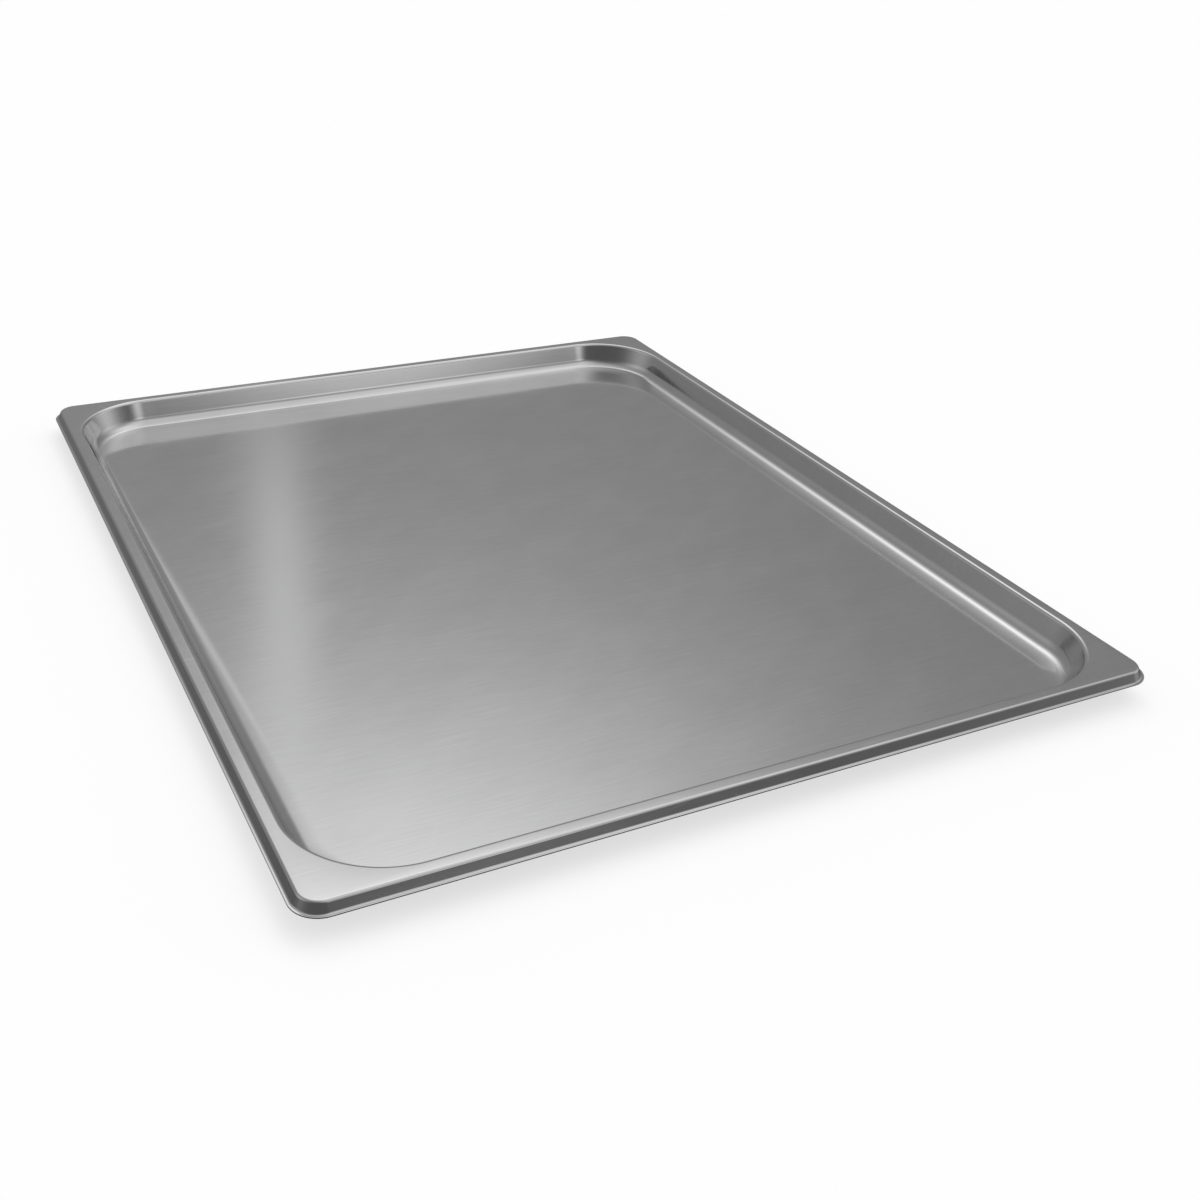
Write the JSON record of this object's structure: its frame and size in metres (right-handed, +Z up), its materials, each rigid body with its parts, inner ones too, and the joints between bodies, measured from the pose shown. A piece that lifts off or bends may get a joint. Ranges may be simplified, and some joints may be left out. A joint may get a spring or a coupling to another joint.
{
  "type": "gastronorm food pan",
  "caption": "Shallow rectangular steel food pan with a flat base, leaning walls, rounded corners and a turned-down rim for hanging in a counter frame.",
  "frame": {"origin": "on the standing face, under the middle of the pan", "axes": "+X along the short side, +Y along the long side, +Z up out of the open well"},
  "size_m": [0.53, 0.65, 0.02],
  "materials": {
    "steel": "satin"
  },
  "bodies": {
    "root": {"pan": "steel"}
  },
  "joints": []
}
